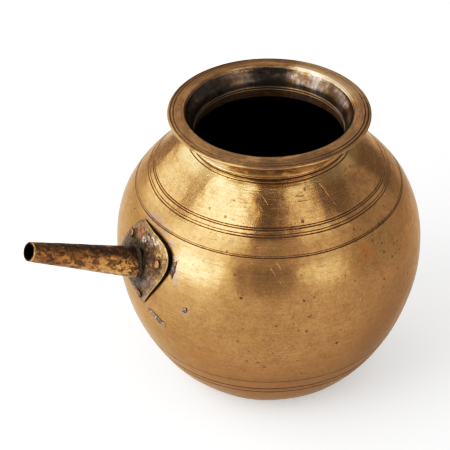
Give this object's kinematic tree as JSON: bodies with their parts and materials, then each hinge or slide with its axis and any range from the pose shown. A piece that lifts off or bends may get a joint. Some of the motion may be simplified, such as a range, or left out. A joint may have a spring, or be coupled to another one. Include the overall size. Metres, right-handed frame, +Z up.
{
  "type": "water pot",
  "caption": "Round-bellied brass water pot with a flared lip and a slender straight pouring spout held by a riveted and soldered plate.",
  "frame": {"origin": "centre of the flat base, on the surface the pot stands on", "axes": "+Z up along the pot's axis; +X out towards the spout's mouth; +Y to the right of someone who faces the spout"},
  "size_m": [0.2342, 0.1704, 0.1693],
  "materials": {
    "vessel_brass": "satin, aged, turned marks",
    "spout_brass": "dark mottled patina",
    "plate_brass": "worn, with grey-green and red patina",
    "rivet_brass": "dark, hammered",
    "solder": "dull grey"
  },
  "bodies": {
    "root": {"bowl": "vessel_brass", "shoulder": "vessel_brass", "neck_collar": "vessel_brass", "spout_tube": "spout_brass", "spout_plate": "plate_brass", "rivet_right": "rivet_brass", "rivet_top": "rivet_brass", "rivet_left": "rivet_brass", "rivet_bottom": "rivet_brass", "spout_solder": "solder", "plate_solder": "solder", "edge_solder": "solder", "solder_run": "solder", "solder_spot": "solder"}
  },
  "joints": []
}
